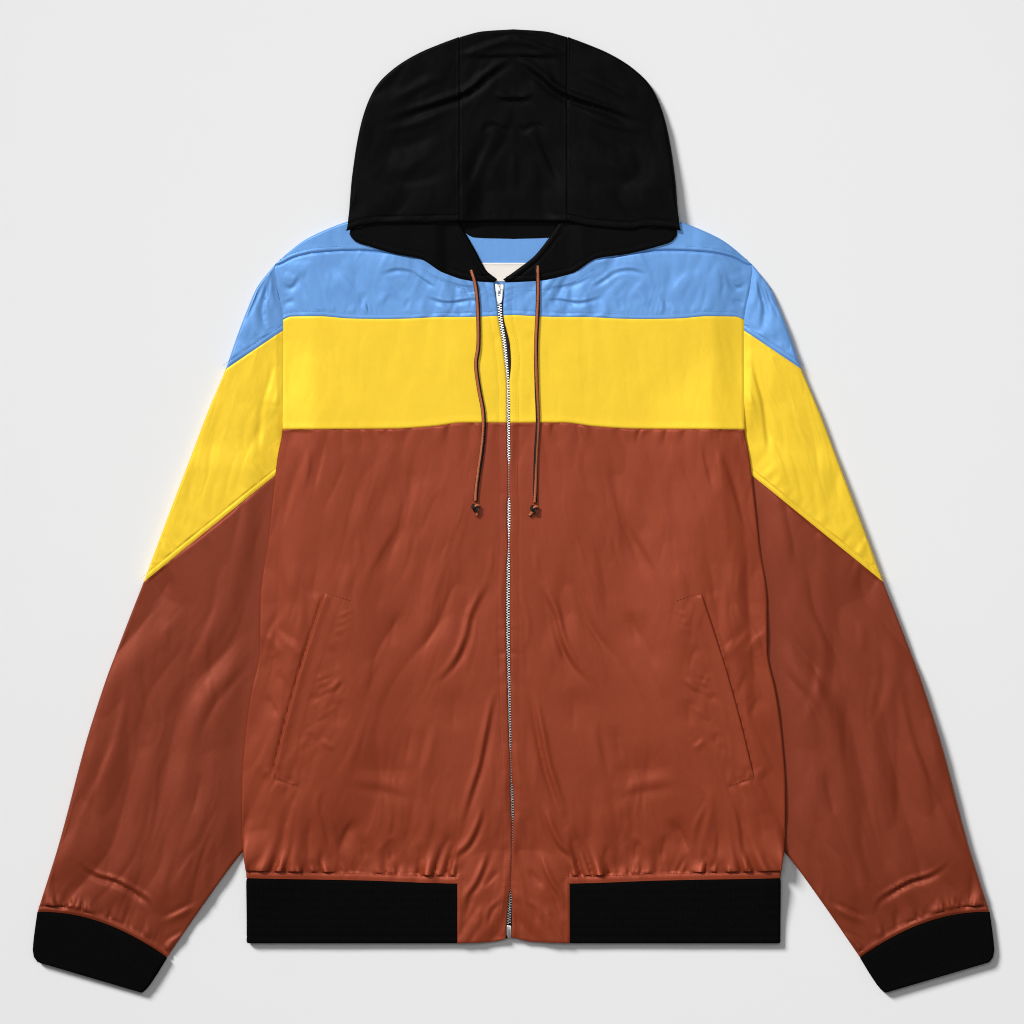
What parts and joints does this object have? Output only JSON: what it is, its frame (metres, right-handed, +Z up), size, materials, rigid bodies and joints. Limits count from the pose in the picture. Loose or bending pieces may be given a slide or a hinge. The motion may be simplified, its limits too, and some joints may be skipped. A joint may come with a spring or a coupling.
{
  "type": "hooded windbreaker jacket",
  "caption": "Colour-blocked hooded zip windbreaker with rib hem and cuffs, laid flat on its back, zipped up, sleeves at its sides.",
  "frame": {"origin": "on the surface the jacket lies on, below the middle of its bounding box", "axes": "+Z up out of the cloth, +Y from the hem to the hood, +X towards the wearer's left"},
  "size_m": [0.9376, 0.9383, 0.0142],
  "materials": {
    "shell_blue": "satin woven nylon",
    "shell_yellow": "satin woven nylon",
    "shell_brown": "satin woven nylon",
    "shell_black": "satin woven nylon",
    "rib_black": "matt rib knit",
    "label_cream": "plain woven label, bare",
    "zip_metal": "polished",
    "zip_tape": "woven tape",
    "cord_copper": "braided cord, copper and black"
  },
  "bodies": {
    "jacket": {"back_yoke": "shell_blue", "back_band": "shell_yellow", "back_lower": "shell_brown", "front_right_yoke": "shell_blue", "front_left_yoke": "shell_blue", "front_right_band": "shell_yellow", "front_left_band": "shell_yellow", "front_right_lower": "shell_brown", "front_left_lower": "shell_brown", "sleeve_right_cap": "shell_blue", "sleeve_left_cap": "shell_blue", "sleeve_right_band": "shell_yellow", "sleeve_left_band": "shell_yellow", "sleeve_right_lower": "shell_brown", "sleeve_left_lower": "shell_brown", "cuff_right": "rib_black", "cuff_left": "rib_black", "hem_rib": "rib_black", "hood_centre": "shell_black", "hood_right_side": "shell_black", "hood_left_side": "shell_black", "hood_right_front": "shell_black", "hood_left_front": "shell_black", "pocket_welt_right": "shell_brown", "pocket_welt_left": "shell_brown", "neck_label": "label_cream", "zip_tape_right": "zip_tape", "zip_tape_left": "zip_tape", "zip_box": "zip_metal", "zip_slider": "zip_metal", "drawcord_right": "cord_copper", "drawcord_left": "cord_copper", "cord_knot_right": "cord_copper", "cord_knot_left": "cord_copper"},
    "pull": {"zip_pull": "zip_metal"}
  },
  "joints": [
    {"name": "pull_hinge", "type": "hinge", "parent": "jacket", "child": "pull", "pos_m": [-0.0137, 0.2154, 0.00665], "axis": [-1, 0, 0], "range_deg": [0, 150]}
  ]
}
